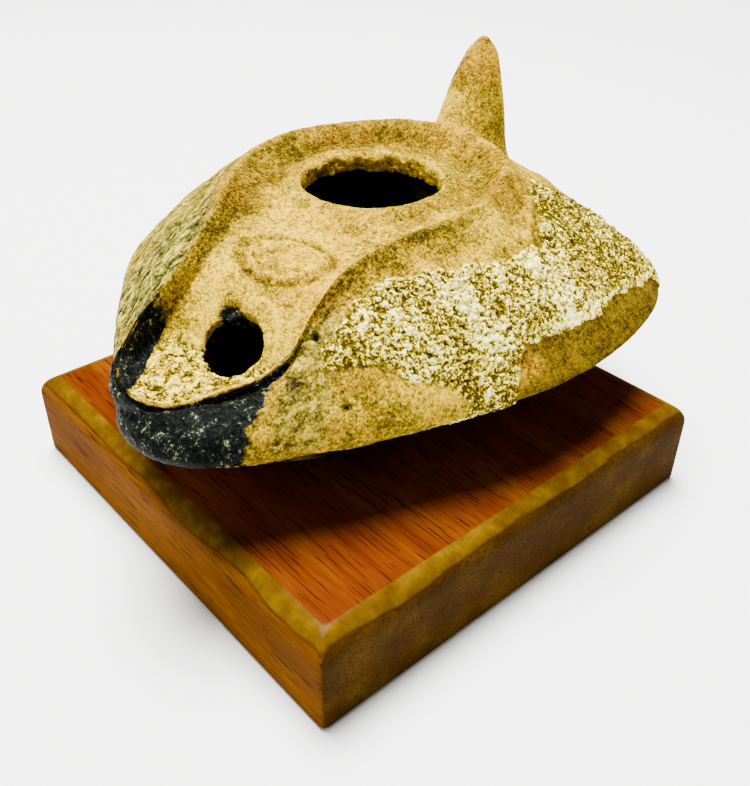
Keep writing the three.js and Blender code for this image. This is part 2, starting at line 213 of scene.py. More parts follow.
def through(points, steps, closed=False):
    """A smooth curve through rows of points, with steps[k] places between row k and k + 1."""
    points = [np.asarray(p, float) for p in points]
    last = len(points) - 1
    rows = []
    for k in range(last + 1 if closed else last):
        if closed:
            p0, p1, p2, p3 = (points[(k + j) % (last + 1)] for j in (-1, 0, 1, 2))
        else:
            p0, p1, p2, p3 = (points[min(max(k + j, 0), last)] for j in (-1, 0, 1, 2))
        gaps = [np.linalg.norm(b - a, axis=-1, keepdims=True) ** 0.5 + 1e-4
                for a, b in ((p0, p1), (p1, p2), (p2, p3))]
        g0, g1, g2 = gaps
        out = ((p1 - p0) / g0 - (p2 - p0) / (g0 + g1) + (p2 - p1) / g1) * g1
        back = ((p2 - p1) / g1 - (p3 - p1) / (g1 + g2) + (p3 - p2) / g2) * g1
        if not closed and k == 0:
            out = p2 - p1
        if not closed and k == last - 1:
            back = p2 - p1
        for t in np.arange(steps[k]) / steps[k]:
            rows.append(
                p1 + out * t + (3 * (p2 - p1) - 2 * out - back) * t**2
                + (2 * (p1 - p2) + out + back) * t**3
            )
    if not closed:
        rows.append(points[-1])
    return np.array(rows)


crest = through([np.array(p) for p in RIDGE_CREST], [40] * len(RIDGE_CREST), closed=True)
crest_direction = np.arctan2(-crest[:, 0], crest[:, 1]) % (2 * math.pi)
crest_reach = np.hypot(crest[:, 0], crest[:, 1])


def ridge_at(direction):
    reach = np.interp(direction, crest_direction, crest_reach, period=2 * math.pi)
    height = np.interp(direction, crest_direction, crest[:, 2], period=2 * math.pi)
    return reach, height


def teardrop_reach(drop, direction):
    side, ahead = np.abs(np.sin(direction)), np.cos(direction)
    lean = (drop["radius"] - drop["nose_radius"]) / (drop["y"] - drop["nose_y"])
    facing = side * math.sqrt(1 - lean * lean) - ahead * lean
    to_side = (drop["radius"] - drop["y"] * lean) / np.where(facing > 1e-6, facing, 1e-6)
    hit_y = to_side * ahead
    first, last = (drop["y"] - drop["radius"] * lean), (drop["nose_y"] - drop["nose_radius"] * lean)
    on_side = (facing > 1e-6) & (hit_y < first) & (hit_y > last)
    on_nose = (ahead < 0) & (hit_y <= last)
    centre = np.where(on_nose, drop["nose_y"], drop["y"])
    radius = np.where(on_nose, drop["nose_radius"], drop["radius"])
    on_circle = centre * ahead + np.sqrt(np.maximum(radius**2 - (centre * side) ** 2, 0))
    return np.where(on_side, to_side, on_circle)


def nose_share(direction):
    return np.maximum(0, -np.cos(direction)) ** 6


def side_share(direction, angle, spread):
    off = (180 - np.abs(180 - np.degrees(direction)) - angle) / spread
    return np.exp(-off * off)


def flank_share(direction):
    share = side_share(direction, FLANK["angle"], FLANK["spread"])
    return share * (1 - nose_share(direction) ** 4)


def keel_reach(direction):
    corner = BACK_CORNER["out"] * side_share(direction, BACK_CORNER["angle"], BACK_CORNER["spread"])
    return teardrop_reach(BELLY, direction) + corner + FLANK["out"] * flank_share(direction)


def floor_z(x, y):
    line = np.array(FLOOR_LINE)
    steps = (-2, -1, 0, 1, 2)
    middle = sum(np.interp(y + 1.25 * k, line[:, 0], line[:, 1]) for k in steps) / len(steps)
    return middle + FLOOR_DISH * np.minimum(1, np.abs(x) / 13) ** 2


def mix(a, b, share):
    return a + (b - a) * share


# %% [markdown]
# The skin is finest on the crusted shoulder, where the relief is finest, and coarse inside
# the vessel, where only darkness shows.

# %% Profiles of the lamp's skin
STEP = 0.23 if FINE else 0.42
CRUST_SIDE = (192, 336)


def skin_directions():
    """Directions closer together on the crusted side."""
    fine = np.linspace(0, 2 * math.pi, 6001)
    reach = keel_reach(fine)
    x, y = -np.sin(fine) * reach, np.cos(fine) * reach
    length = np.hypot(np.diff(x), np.diff(y))
    turned = np.degrees(fine[:-1])
    first, last = CRUST_SIDE
    crusted = between(turned, first - 8, first, last, last + 8)
    weight = length * mix(0.55, 1.0, crusted) / STEP
    total = np.concatenate([[0], np.cumsum(weight)])
    count = int(total[-1])
    return np.interp(np.arange(count) * total[-1] / count, total, fine)


def steps_for(length, step=None):
    return max(2, int(round(length / (step or STEP))))


def lamp_skin(direction):
    """Points of the skin as rings, and for each ring a name of its zone."""
    ridge, ridge_z = ridge_at(direction)
    keel = keel_reach(direction)
    foot = teardrop_reach(FOOT, direction)
    nose, flank_turn = nose_share(direction), flank_share(direction)
    lip_turn = np.exp(-(((np.degrees(direction) - 181) / 11) ** 4))
    even = np.ones_like(direction)

    def floor_at(reach):
        return floor_z(-np.sin(direction) * reach, np.cos(direction) * reach)

    rings, steps, zones = [], [], []

    def ring(reach, height, steps_after, zone):
        rings.append(np.stack([reach * even, height * even], 1))
        steps.append(steps_after)
        zones.append(zone)

    # Inside, from the middle of the vessel's floor up to the filling hole
    under = np.maximum(HOLE_RADIUS + 2.5, ridge - WALL)
    hollow_r = mix(mix(ridge + RIDGE_HALF_WIDTH, keel, 0.4) - WALL * 0.8, under + 1, nose)
    hollow_z = mix(mix(ridge_z - RIDGE_FLANK_DROP, KEEL_Z, 0.4) - WALL * 0.7, 13.2, nose)
    ring(0.4, FLOOR_WALL, 5, "inside")
    ring(foot - 6, FLOOR_WALL + 0.6, 5, "inside")
    ring(mix(foot, keel, 0.35) - 1, mix(FLOOR_WALL, KEEL_Z, 0.3), 5, "inside")
    ring(keel - WALL - mix(1.3, 4.2, nose), KEEL_Z + mix(0.5, -2.4, nose), 4, "inside")
    ring(hollow_r, hollow_z, 5, "inside")
    ring(mix(ridge - 1.2, under + 0.5, nose), mix(ridge_z - 6.3, floor_at(under) - WALL - 0.2, nose),
         4, "inside")
    ring(under, floor_at(under) - WALL, 9, "inside")
    ring(HOLE_RADIUS + 1.2, floor_at(HOLE_RADIUS + 1) - WALL, 5, "inside")
    ring(HOLE_RADIUS + 0.1, LIP_Z - 4.4, steps_for(4.4, 0.34), "hole wall")
    ring(HOLE_RADIUS, LIP_Z - 0.9, steps_for(1.4, 0.34), "hole wall")
    ring(HOLE_RADIUS + 0.8, LIP_Z, steps_for(1.6, 0.34), "lip")
    ring(HOLE_RADIUS + 2.2, LIP_Z - 0.1, steps_for(2.4, 0.38), "lip")
    ring(HOLE_RADIUS + 4, TROUGH_Z + 0.5, steps_for(2, 0.42), "trough")

    # The sunken floor, out to the foot of the ridge
    inner_foot = ridge - mix(3.8, 1.3, lip_turn)
    trough = np.minimum(TROUGH_RADIUS, inner_foot - 0.4)
    parts = 6
    for k in range(parts):
        reach = mix(trough, inner_foot, k / parts)
        ring(reach, floor_at(reach), steps_for(30 / parts, 0.4), "floor")
    foot_z = floor_at(inner_foot)
    ring(inner_foot, foot_z, steps_for(2.4, 0.3), "ridge")

    # The ridge
    flank = RIDGE_HALF_WIDTH * mix(1, 0.22, nose)
    drop = RIDGE_FLANK_DROP * mix(1, 0.45, nose)
    inner_edge = ridge - RIDGE_HALF_WIDTH / 2 * mix(1, 0.4, lip_turn)
    ring(inner_edge, mix(foot_z, ridge_z, 0.72), steps_for(1.8, 0.26), "ridge")
    ring(ridge, ridge_z, steps_for(2, 0.26), "ridge")
    ring(ridge + flank * 0.6, ridge_z - drop * 0.42, steps_for(2.6, 0.26), "ridge")
    shoulder_r, shoulder_z = ridge + flank * 1.5, ridge_z - drop
    ring(shoulder_r, shoulder_z, steps_for(6.6), "shoulder")

    # The shoulder, the keel and the underside
    share = mix(mix(BAND_AT_BACK, 1, flank_turn), BAND_AT_NOSE, nose * (1 - flank_turn))
    swell = mix(0.7, 1.4, flank_turn) + 0.9 * nose * (1 - flank_turn)
    band = [(keel - inset * share, KEEL_Z + up * share) for inset, up in KEEL_BAND]
    for f in (0.25, 0.5, 0.75):
        ring(mix(shoulder_r, band[0][0], f), mix(shoulder_z, band[0][1], f) + swell * math.sin(math.pi * f),
             steps_for(6.6), "shoulder")
    for k, (reach, height) in enumerate(band):
        ring(reach, height, steps_for((2.4, 2.4, 2.2, 3, 9)[k], 0.36 if k < 3 else 0.8), "keel")
    for f in (0.35, 0.7):
        ring(mix(band[-1][0], foot + 0.4, f), mix(band[-1][1], 0.9, f) - 0.4 * math.sin(math.pi * f),
             steps_for(9, 0.9), "under")
    ring(foot, 0, steps_for(2.6, 0.6), "foot")
    ring(foot - FOOT_RING_WIDTH, 0, steps_for(1.5, 0.5), "foot")
    ring(foot - FOOT_RING_WIDTH - 1.2, FOOT_RECESS, 14, "foot")
    ring(0.4, FOOT_RECESS, 1, "foot")

    reach_height = through(rings, steps)
    names = np.repeat(np.array(zones[:-1]), steps[:-1]).tolist() + [zones[-1]]
    reach, height = reach_height[..., 0], reach_height[..., 1]
    skin = np.stack([-np.sin(direction) * reach, np.cos(direction) * reach, height], -1)
    return skin, np.array(names)


directions = skin_directions()
skin, zone = lamp_skin(directions)
print("skin:", skin.shape[0], "rings of", skin.shape[1], "points")

# %% [markdown]
# ## Relief: wear, crust and breaks
#
# The relief is a height added along the skin's own normal. Smoothing by hand and long wear give
# the soft waves. The crust is lumpy and carries small crumbs. A crumbly deposit lies in the pan
# of the nozzle, and the walls of the two holes are torn.

# %% Where things lie on the lamp


def lay_of(points):
    """For points in the lamp's frame: direction in degrees, reach, ridge reach, and how far
    down the shoulder they are, from 0 at the crest of the ridge to 1 at the keel."""
    direction = np.arctan2(-points[:, 0], points[:, 1]) % (2 * math.pi)
    reach = np.hypot(points[:, 0], points[:, 1])
    ridge, _ = ridge_at(direction)
    keel = keel_reach(direction)
    return np.degrees(direction), reach, ridge, (reach - ridge) / (keel - ridge)


# The crust's inner and outer edge as (direction, share of the way down the shoulder)
CRUST_INNER = [(192, 0.75), (198, 0.5), (204, 0.3), (213, 0.23), (225, 0.25), (241, 0.28),
               (253, 0.3), (262, 0.34), (270, 0.36), (276, 0.24), (285, 0.16), (300, 0.14),
               (320, 0.22), (335, 0.45), (345, 0.8)]
CRUST_OUTER = [(192, 0.7), (198, 0.62), (206, 0.72), (213, 0.78), (222, 0.9), (230, 1.0), (236, 1.1),
               (244.5, 0.79), (270, 0.8), (281, 0.83), (294, 0.93), (298, 1.1),
               (318, 1.1), (335, 0.8), (345, 0.7)]
BARE_BAND = (236, 297)


def read_off(table, turned):
    """The value that a table of (direction, value) gives at each direction."""
    return np.interp(turned, *zip(*table))


def crust_share(points):
    """How much of the lime crust covers a point, with a ragged edge."""
    turned, reach, ridge, down = lay_of(points)
    inner, outer = read_off(CRUST_INNER, turned), read_off(CRUST_OUTER, turned)
    torn = 0.05 * layered_noise(points, 5, 3, 0.6, seed=3)
    over = ramp(down + torn, inner - 0.02, inner + 0.05)
    under = ramp(down + torn, outer + 0.012, outer - 0.02)
    sides = between(turned + 60 * torn, 197, 206, 303, 308)
    return over * under * sides * (points[:, 2] > KEEL_Z - 4)


def bare_share(points):
    """The strip of bare brown clay along the keel, where the crust has come away."""
    turned, reach, ridge, down = lay_of(points)
    outer = read_off(CRUST_OUTER, turned)
    torn = 0.04 * layered_noise(points, 5, 3, 0.6, seed=3)
    inside = ramp(turned + 55 * torn, BARE_BAND[0] - 1, BARE_BAND[0] + 0.6)
    inside = inside * ramp(turned + 30 * torn, BARE_BAND[1] + 0.6, BARE_BAND[1] - 1)
    return inside * ramp(down + torn, outer - 0.015, outer + 0.02)


# %% [markdown]
# The heights are worked out on the plain skin, before anything moves, and kept. The crust's
# own height is used again later to colour it, white on the crumbs and ochre between them.

# %% Heights of the relief
flat = skin.reshape(-1, 3).astype(np.float32)
ring_zone = np.repeat(zone, skin.shape[1])
turned, reach, ridge, down = lay_of(flat)
top_side = flat[:, 2] > KEEL_Z - 0.5
outside = ~np.isin(ring_zone, ["inside"])
height = np.zeros(len(flat), np.float32)
grit = np.zeros(len(flat), np.float32)

# Soft waves left by smoothing and wear
seen = outside & (flat[:, 2] > 2)
height[seen] += 0.22 * layered_noise(flat[seen], 11, 3, 0.45, seed=21)
height[seen] += 0.055 * layered_noise(flat[seen], 1.6, 2, 0.6, seed=22)
height[~outside] += 0.5 * layered_noise(flat[~outside], 14, 2, 0.5, seed=23)

# Left shoulder: scraped and weathered in streaks along the body
left = outside & top_side & (turned > 35) & (turned < 172) & (down > 0.03)
streaked = flat[left] * np.array([1, 0.28, 0.8], np.float32)
run = ramp(down[left], 0.02, 0.15) * between(turned[left], 35, 55, 162, 172)
height[left] += run * (0.34 * layered_noise(streaked, 3.4, 3, 0.6, seed=31)
                       + 0.16 * grains(streaked, 1.5, 32))

# Right shoulder: the lime crust, in large lumps carrying small crumbs
crusted = outside & (turned > 188) & (turned < 350) & (down > 0)
crust = np.zeros(len(flat), np.float32)
crust[crusted] = crust_share(flat[crusted])
on = crust > 0.01
lumps = 0.5 + 0.5 * layered_noise(flat[on], 6, 3, 0.6, seed=41)
crumbs = np.maximum(grains(flat[on], 0.9, 42), 0.9 * grains(flat[on], 0.62, 43))
fine_crumbs = grains(flat[on], 0.48, 44)
# Larger nodules stand at the back of the shoulder, finer and thinner crust to the front
nodules = ramp(turned[on], 262, 278) * grains(flat[on], 1.9, 45)
thin = 0.35 + 0.65 * ramp(turned[on], 199, 212)
above_edge = read_off(CRUST_OUTER, turned[on]) - down[on]
thin = thin * mix(0.4, 1, ramp(above_edge, 0, 0.12))
build = thin * (0.1 + 0.35 * lumps + 0.62 * crumbs + 0.22 * fine_crumbs + 0.5 * nodules)
height[on] += crust[on] * build
WHITEST = [(30.6, -5.6, 26.7), (29.3, -20.4, 22.6), (20.8, -28.7, 25.9), (25.6, -19.6, 26.1),
           (36, -5.8, 22.3)]
whitest = sum(around(flat[on], spot, (3.2, 3.2, 3.2)) for spot in WHITEST)
belt = ramp(above_edge, 0.1, 0.0) * ramp(turned[on], 238, 250)
whitest = np.clip(whitest + 0.8 * belt, 0, 1) - 0.5 * ramp(turned[on], 268, 280)
grit[on] = 0.12 * lumps + 0.5 * crumbs + 0.22 * fine_crumbs + 0.12 * nodules + 0.3 * whitest + 0.1
grit[on] = np.clip(grit[on], 0, 1.3)

# Nozzle pan: crumbly deposit, banked up to the left and in front of the wick hole
pan_edge = 0.9 * layered_noise(flat, 3, 2, 0.6, seed=51)
pan = ramp(flat[:, 1] + pan_edge, -38.5, -43) * ramp(down, 0.01, -0.05) * (ring_zone != "inside")
pan = pan * outside * (flat[:, 1] < -36) * ramp(flat[:, 0] + pan_edge, -12.5, -10)
bank = around(flat[:, :2], (-6.6, -45.4), (3.6, 2.6))
bank += 0.9 * around(flat[:, :2], (1.2, -45.8), (3.6, 1.7))
bank += 0.7 * around(flat[:, :2], (-7.2, -41), (1.9, 2.6))
on_pan = pan > 0.01
pan_crumbs = np.maximum(grains(flat[on_pan], 1.4, 52), 0.8 * grains(flat[on_pan], 0.8, 53))
banked = bank[on_pan]
deep = 0.15 + 0.75 * banked + (0.3 + 0.5 * np.minimum(banked, 1)) * pan_crumbs
height[on_pan] += pan[on_pan] * deep
grit[on_pan] = np.maximum(grit[on_pan], pan[on_pan] * (0.25 + 0.75 * pan_crumbs))

# Channel: the worn medallion is a low pad in a shallow groove
across = np.hypot(flat[:, 0] / OVAL["long"], (flat[:, 1] - OVAL["y"]) / OVAL["short"])
on_floor = outside & (down < 0.02) & (flat[:, 2] > 20)
pad = ramp(across, 0.92, 0.78) * 0.32
broken = np.clip(0.75 + 0.6 * layered_noise(flat, 3.5, 2, 0.5, seed=62), 0.2, 1.2)
groove = np.exp(-(((across - 1.03) / 0.11) ** 2)) * 0.34 * broken
outer_rim = np.exp(-(((across - 1.24) / 0.1) ** 2)) * 0.16 * broken * ramp(flat[:, 0], 2, -4)
height[on_floor] += (pad - groove + outer_rim)[on_floor]
wear = on_floor & (across < 1.6)
height[wear] += 0.26 * layered_noise(flat[wear], 1.9, 3, 0.65, seed=61) * ramp(across[wear], 1.5, 0.8)

# A thin raised ring runs round the wick hole
ring_out = np.hypot(flat[:, 0] - 0.3, flat[:, 1] - WICK_AT[1]) - 6.2
ringed = on_floor & (np.abs(ring_out) < 1.2) & (flat[:, 1] > -40)
ring_fades = 0.3 * ramp(flat[ringed, 0], -5, -1)
height[ringed] += ring_fades * np.exp(-((ring_out[ringed] / 0.4) ** 2))

# Torn inner wall of the filling hole, worst at the back, smooth and rolled in front
wall = np.isin(ring_zone, ["hole wall", "lip"])
wall_points = flat[wall]
behind = (0.2 + 0.8 * ramp(wall_points[:, 1], -6, 4)) * ramp(wall_points[:, 2], LIP_Z - 0.1, LIP_Z - 2)
height[wall] += behind * (0.5 * layered_noise(wall_points, 3.2, 3, 0.62, seed=71)
                          + 0.14 * grains(wall_points, 1.2, 72) - 0.15)

# Soot and scale make the front and the left of the nozzle rough
scaled = outside & (flat[:, 1] < -38) & (turned > 158) & (turned < 196)
height[scaled] += 0.16 * layered_noise(flat[scaled], 1.5, 3, 0.65, seed=75)

# A burnt chip at the back of the wick hole
height -= 1.3 * around(flat, (-3.2, -35.3, 23.6), (1.4, 1.5, 2.2)) * outside

# Under the rim of the nozzle a groove sets off the rounded front
front = ramp(np.abs(turned - 181), 18, 12)
groove_at = (reach - ridge - 1.3) / 0.6
height -= 0.45 * front * np.exp(-(groove_at**2)) * top_side * outside


# Low ribs on the right shoulder, and the smooth hollow beside the longer one
def rib(start, end, width, tall):
    a, b = np.array(start, float), np.array(end, float)
    along = np.clip(((flat - a) @ (b - a)) / ((b - a) @ (b - a)), 0, 1)
    away = np.linalg.norm(flat - (a + along[:, None] * (b - a)), axis=1)
    return tall * np.exp(-((away / width) ** 2)) * outside


height += rib((16.0, -23.3, 30.6), (17.6, -26.4, 28.9), 0.5, 0.55)
height += rib((25.0, 6.9, 31.2), (28.6, -2.3, 28.8), 0.9, 0.6)
height += rib((28.6, -2.3, 28.8), (31.9, -6.0, 25.6), 0.9, 0.7)
hollow = around(flat, (31.5, 0.5, 27.0), (2.6, 3.4, 2.8)) * outside
height -= 0.7 * hollow

# A chip out of the ring at the right, and small lumps along the back of both shoulders
height -= 0.7 * around(flat, (20.9, 6.2, 34.2), (1.6, 1.3, 1.4)) * outside
LUMPS = [((-19, 17, 30), 2.2, 0.7), ((-26.5, 4, 28), 2.6, 0.8), ((-31.5, -12, 25), 2.0, 0.7),
         ((22, 22, 29.5), 3.4, 0.8), ((32, 26, 23.5), 3.0, 0.9), ((37.5, 25, 19.5), 2.0, 0.6)]
for spot, size, tall in LUMPS:
    height += tall * around(flat, spot, (size, size, size)) * outside

# Small deep pits
PITS = [((27.9, -32.4, 12.9), 0.55), ((19.7, -41, 18.4), 0.45), ((-4.8, -22.4, 30.3), 0.5),
        ((13.0, -37.8, 25.5), 0.5), ((8.9, -14.8, 31), 0.4), ((33.6, -24.7, 17), 0.35)]
PIT_DEPTH = 1.1
for spot, size in PITS:
    height -= PIT_DEPTH * around(flat, spot, (size, size, size)) * outside

# Nothing may stand proud of the widest edge of the solid, so the keel only wears inwards
edge = ramp(down, 0.93, 1.0) * outside
height = np.where(outside, mix(height, np.minimum(height, 0) - 0.05, edge * (crust < 0.3)), height)
height = np.where(outside, mix(height, np.minimum(height, 0.35), edge), height)
print("relief from %.2f to %.2f mm" % (height.min(), height.max()))

# %% [markdown]
# The normal at each point comes from its neighbours along and round the skin.

# %% Move the skin and make it a mesh


def skin_normals(grid):
    along = np.empty_like(grid)
    along[1:-1] = grid[2:] - grid[:-2]
    along[0], along[-1] = grid[1] - grid[0], grid[-1] - grid[-2]
    across = np.roll(grid, -1, axis=1) - np.roll(grid, 1, axis=1)
    normal = np.cross(along, across)
    return normal / (np.linalg.norm(normal, axis=-1, keepdims=True) + 1e-9)


normals = skin_normals(skin)
moved = skin + normals * height.reshape(skin.shape[:2])[..., None]


def ring_mesh(name, grid):
    """A closed mesh from rings of points, capped at both ends. Millimetres in, metres out."""
    rings, count = grid.shape[:2]
    points = np.concatenate([grid.reshape(-1, 3), grid[0].mean(0)[None], grid[-1].mean(0)[None]]) * MM
    k, i = np.meshgrid(np.arange(rings - 1), np.arange(count), indexing="ij")
    j = (i + 1) % count
    quads = np.stack([k * count + i, (k + 1) * count + i, (k + 1) * count + j, k * count + j], -1)
    quads = quads.reshape(-1, 4)
    place = np.arange(count)
    after = (place + 1) % count
    start, end = rings * count, rings * count + 1
    last = (rings - 1) * count
    first_cap = np.stack([np.full(count, start), place, after], -1)
    last_cap = np.stack([np.full(count, end), last + after, last + place], -1)
    mesh = bpy.data.meshes.new(name)
    mesh.vertices.add(len(points))
    mesh.vertices.foreach_set("co", points.astype(np.float32).ravel())
    corners = np.concatenate([quads.ravel(), first_cap.ravel(), last_cap.ravel()])
    sizes = np.concatenate([np.full(len(quads), 4), np.full(2 * count, 3)])
    mesh.loops.add(len(corners))
    mesh.loops.foreach_set("vertex_index", corners.astype(np.int32))
    mesh.polygons.add(len(sizes))
    mesh.polygons.foreach_set("loop_start", (np.cumsum(sizes) - sizes).astype(np.int32))
    mesh.update(calc_edges=True)
    thing = bpy.data.objects.new(name, mesh)
    bpy.context.scene.collection.objects.link(thing)
    return thing


def volume_of(thing):
    body = bmesh.new()
    body.from_mesh(thing.data)
    amount = body.calc_volume(signed=True)
    body.free()
    return amount * 1e6


lamp = ring_mesh("clay lamp", moved)
print("clay in the skin: %.1f cm3" % volume_of(lamp))

# %% [markdown]
# ## The handle
#
# The handle is a solid cone of clay behind the ridge, and its foot flares into the shoulder. It
# is made as a closed mesh of its own on a leaning axis and joined to the skin by a boolean,
# which leaves one body.

# %% Handle


def shoulder_height(x, y):
    """Height of the plain skin above a place on the rear shoulder."""
    behind_ridge = np.isin(zone, ["shoulder", "keel"])
    column = np.arctan2(-x, y) % (2 * math.pi)
    nearest = np.searchsorted(directions, column).clip(0, len(directions) - 1)
    profile = skin[behind_ridge][:, nearest]
    away = np.hypot(profile[..., 0], profile[..., 1]) - np.hypot(x, y)
    row = np.abs(away).argmin(0)
    return profile[row, np.arange(len(nearest)), 2]


def handle_points(count, step):
    tall = np.array(HANDLE_PROFILE)
    length = np.hypot(np.diff(tall[:, 0]), np.diff(tall[:, 1]))
    curve = through(tall, [max(2, int(round(s / step))) for s in length])
    z, radius = curve[:, 0], curve[:, 1]
    turn = np.arange(count) / count * 2 * math.pi
    z, radius = z[:, None] + 0 * turn, radius[:, None] + 0 * turn
    middle_y = HANDLE_FOOT[0] + (z - HANDLE_FOOT[1]) * HANDLE_LEAN
    x, y = np.cos(turn) * radius, middle_y + np.sin(turn) * radius
    clear = z - shoulder_height(x.ravel(), y.ravel()).reshape(z.shape)
    flare = 1.5 * np.exp(-np.clip(clear, 0, None) / 1.7) * ramp(z, 18, 22)
    x, y = np.cos(turn) * (radius + flare), middle_y + np.sin(turn) * (radius + flare)
    return np.stack([x, y, z], -1)


HANDLE_STEP = 0.3 if FINE else 0.5
cone = handle_points(int(50 / HANDLE_STEP), HANDLE_STEP)
cone_flat = cone.reshape(-1, 3).astype(np.float32)
cone_height = 0.16 * layered_noise(cone_flat, 8, 3, 0.5, seed=81)
cone_height += 0.05 * layered_noise(cone_flat, 2.0, 3, 0.6, seed=82)
cone_height -= 0.12 * grains(cone_flat, 3.2, 83, filled=0.35)
tip = ramp(cone_flat[:, 2], 41, 45)
cone_height = mix(cone_height, np.minimum(cone_height, 0) - 0.1, tip)
cone_moved = cone - skin_normals(cone) * cone_height.reshape(cone.shape[:2])[..., None]
cap = cone_moved[-1].mean(0) + np.array([0, 0, 0.35])
rounded = [mix(cone_moved[-1], cap, 1 - math.cos(a)) + np.array([0, 0, 0.28 * math.sin(a)])
           for a in (0.45, 0.9, 1.3)]
cone_moved = np.concatenate([cone_moved, np.array(rounded)])
handle = ring_mesh("handle", cone_moved[:, ::-1])
print("handle: %.1f cm3" % volume_of(handle))

# %% [markdown]
# ## The wick hole
#
# The wick hole goes through the clay at a slant. Its rim is burnt and crumbled, so the cutter is
# a rough tube rather than a true cylinder.

# %% Cut the wick hole and join the handle


def rough_tube(centre, lean, radius, above, below, step):
    count = int(2 * math.pi * radius / step)
    rows = int((above + below) / step)
    along = np.linspace(above, -below, rows)[:, None]
    turn = np.arange(count)[None, :] / count * 2 * math.pi
    wide = radius * np.interp(along, [-below, 0, above], [0.92, 1.0, 1.12])
    x, y, z = wide * np.cos(turn), wide * np.sin(turn), along + 0 * turn
    points = np.stack([x + 0 * z, y + 0 * z, z], -1).reshape(-1, 3).astype(np.float32)
    torn = 0.16 * layered_noise(points, 3.5, 3, 0.6, seed=91) + 0.1 * grains(points, 0.9, 92)
    # The upper left of the rim is worn back
    worn_side = ramp(-points[:, 0] * 0.55 + points[:, 1] * 0.83, 2.4, 4.6) * ramp(points[:, 2], 0.6, 2.6)
    torn += 0.9 * worn_side
    # Crumbs of the deposit hang over the edge on the side towards the lip
    bank_side = ramp(-points[:, 0] * 0.67 - points[:, 1] * 0.74, 2.6, 4.6) * ramp(points[:, 2], -2.5, -0.5)
    torn -= bank_side * (0.5 + 0.7 * grains(points, 1.3, 93))
    outwards = points * np.array([1, 1, 0]) / radius
    points = points + outwards * torn[:, None]
    leaning = np.array(Matrix.Rotation(lean, 3, "X"))
    points = points @ leaning.T + np.array(centre)
    return points.reshape(rows, count, 3)


cutter = ring_mesh("wick cutter", rough_tube(WICK_AT, WICK_LEAN, WICK_RADIUS, 9, 9.5, 0.28))
print("wick cutter: %.2f cm3" % volume_of(cutter))


def combine(base, tool, operation):
    modifier = base.modifiers.new("combine", "BOOLEAN")
    modifier.operation = operation
    modifier.solver = "MANIFOLD"
    modifier.object = tool
    take_modifiers(base)
    bpy.data.objects.remove(tool)


def take_modifiers(thing):
    """Turn what the modifiers make into the piece's own mesh."""
    graph = bpy.context.evaluated_depsgraph_get()
    made = bpy.data.meshes.new_from_object(thing.evaluated_get(graph))
    thing.modifiers.clear()
    old, thing.data = thing.data, made
    bpy.data.meshes.remove(old)


combine(lamp, handle, "UNION")
combine(lamp, cutter, "DIFFERENCE")
TRIANGLES = 192000 if FINE else 90000
triangles = sum(len(p.vertices) - 2 for p in lamp.data.polygons)
thin_out = lamp.modifiers.new("thin out", "DECIMATE")
thin_out.ratio = min(1, TRIANGLES / triangles)
take_modifiers(lamp)
kept = sum(len(p.vertices) - 2 for p in lamp.data.polygons)
print("lamp: %d triangles, thinned to %d, %.1f cm3" % (triangles, kept, volume_of(lamp)))

# %% [markdown]
# ## Where each colour lies
#
# The clay is one buff body, but soil, lime, iron and soot have coloured it in patches. Painted shade and
# painted light lie on it too: near black inside the vessel, darker in grooves, troughs and low down, and
# lighter on the channel, crests and hole wall. Each patch is worked out for every point of the skin as a
# share from 0 to 1 and kept on the mesh as an attribute. The materials read these shares and break up
# their edges with fine noise.

# %% Shares of colour on the skin


def with_cone(values):
    """Values on the skin, followed by nothing for each point of the handle."""
    return np.concatenate([values, np.zeros(len(cone_flat), values.dtype)])


points_all = np.concatenate([flat, cone_flat])
is_cone = np.arange(len(points_all)) >= len(flat)
turned, reach, ridge, down = lay_of(points_all)
x, y, z = points_all.T
ragged = layered_noise(points_all, 4.5, 4, 0.6, seed=101)
inside = with_cone(ring_zone == "inside")
hole_wall = with_cone(ring_zone == "hole wall")
height_all = np.concatenate([height, cone_height])
share = {}

# Soot: the front of the nozzle, a band inside its left rim, and round the wick hole, with painted shadow
# added to it in the groove under the nozzle's rim
torn_turn = turned + 2.2 * ragged
front_soot = between(torn_turn, 167, 171, 190, 193.5) * ramp(down, -0.02, 0.1)
front_soot *= ramp(z + 0.8 * ragged, 9.5, 12) * (y < -38)
band_limit = np.interp(y, [-53, -49, -45, -42], [-7.6, -9.2, -10.9, -11.9])
left_band = ramp(x + 0.7 * ragged, band_limit + 0.5, band_limit - 0.5) * ramp(down, 0.1, 0.02)
left_band *= ramp(y + 1.5 * ragged, -38.5, -41) * (y > -55)
notch = around(points_all, (-3.4, -35.7, 23.2), (1.5, 1.5, 2.2))
notch += 0.35 * around(points_all, (-1.2, -35.2, 23.8), (1.6, 0.8, 1.4))
# Under the nozzle's rim: soot, deepened by painted shadow of the overhanging rim
soot_and_shade_under_rim = np.exp(-(((reach - ridge - 1.1) / 1.0) ** 2)) * (y < -36)
soot_and_shade_under_rim = soot_and_shade_under_rim * ramp(turned, 160, 166) * ramp(turned + 3 * ragged, 195, 189)
STAINS = [(11.5, -46.5, 18.6), (12.0, -43.2, 21.8), (14.6, -42.5, 21.0), (13.0, -44.0, 21.5),
          (14.3, -44.8, 20.0), (12.9, -45.3, 20.4), (13.9, -42.4, 22.1), (13.4, -48.5, 17.2)]
stain = sum(around(points_all, spot, (1.2, 1.7, 1.7)) for spot in STAINS)
rim_edge = np.exp(-(((reach - ridge + 0.2) / 0.3) ** 2)) * (y < -38) * (z < 23.5)
rim_edge = rim_edge * np.clip(0.75 + 0.5 * ragged, 0, 1)
soot_and_shade = front_soot + 0.9 * left_band + 1.1 * notch + soot_and_shade_under_rim + 0.24 * stain
